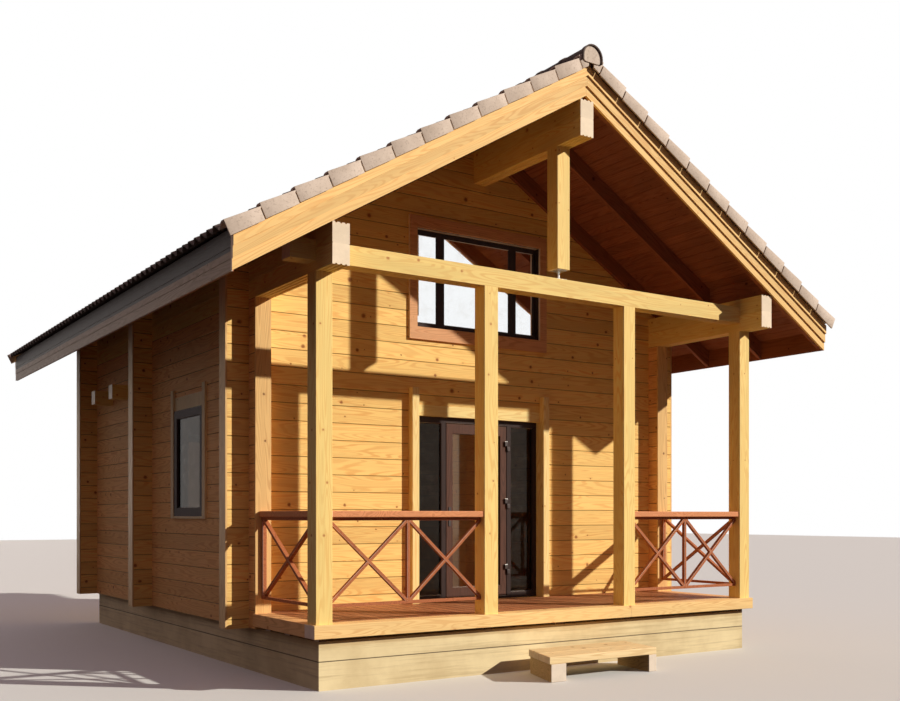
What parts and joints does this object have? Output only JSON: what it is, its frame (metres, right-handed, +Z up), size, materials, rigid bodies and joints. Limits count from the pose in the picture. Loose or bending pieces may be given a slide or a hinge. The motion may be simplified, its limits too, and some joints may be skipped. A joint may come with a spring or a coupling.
{
  "type": "wooden house",
  "caption": "Timber house with a covered terrace on posts, braced railings, a tiled gable roof and a glazed entrance door that swings open.",
  "frame": {"origin": "on the underside of the foundation, midway along the front wall's outer face", "axes": "+X to the right along the front, +Y into the house, +Z up"},
  "size_m": [7.8, 8.983, 6.3357],
  "materials": {
    "concrete": "rough cast concrete with board marks",
    "wall_timber": "planed pine, oiled",
    "frame_timber": "planed glued pine, oiled",
    "end_board": "planed board, weathered grey-brown",
    "rim_timber": "planed timber, reddish oil",
    "stained_timber": "red-brown stain",
    "floor_timber": "planed boards",
    "roof_timber": "red-brown oil",
    "bargeboard": "planed boards, oiled",
    "tile": "matt grey-brown roof tile",
    "casing_timber": "pale planed timber",
    "gable_casing_timber": "reddish planed board",
    "brown_frame": "dark brown satin",
    "glass": "clear double glazing",
    "steel": "dull zinc and brown lacquer",
    "step_timber": "rough sawn timber, weathered"
  },
  "bodies": {
    "house": {"back_wall": "wall_timber", "bargeboards": "bargeboard", "cross_wall_ends": "wall_timber", "deck": "stained_timber", "deck_joists": "floor_timber", "door_head_board": "casing_timber", "door_jambs": "casing_timber", "door_sill_timber": "wall_timber", "door_threshold_and_head": "brown_frame", "eave_beams": "frame_timber", "eave_blocking": "roof_timber", "end_boards": "end_board", "fascias": "roof_timber", "foundation": "concrete", "front_gable": "wall_timber", "front_wall_left": "wall_timber", "front_wall_right": "wall_timber", "gable_casings": "gable_casing_timber", "gable_frames": "brown_frame", "gable_glass": "glass", "ground_floor": "floor_timber", "ground_floor_joists": "floor_timber", "handrails": "stained_timber", "hinge_seats": "steel", "king_post": "frame_timber", "king_post_jack": "steel", "left_wall": "wall_timber", "posts": "frame_timber", "rafters": "roof_timber", "railings": "stained_timber", "ridge_end_caps": "tile", "ridge_purlin": "frame_timber", "ridge_tiles": "tile", "right_wall": "wall_timber", "rim_front_long": "rim_timber", "rim_front_short": "rim_timber", "rim_packers": "rim_timber", "rim_sides": "rim_timber", "roof_boards": "roof_timber", "side_light_glass": "glass", "side_lights": "brown_frame", "side_wall_ends": "wall_timber", "step_bearers": "step_timber", "step_boards": "step_timber", "tie_beam": "frame_timber", "tile_battens": "roof_timber", "tiles_left": "tile", "tiles_right": "tile", "upper_floor": "floor_timber", "upper_joists": "frame_timber", "window_casings": "casing_timber", "window_frames": "brown_frame", "window_glass": "glass"},
    "door": {"door_leaf": "brown_frame", "door_glass": "glass", "door_fittings": "steel"}
  },
  "joints": [
    {"name": "door_hinge", "type": "hinge", "parent": "house", "child": "door", "pos_m": [0.433, 0.047, 1.64], "axis": [0, 0, 1], "range_deg": [0, 105]}
  ]
}
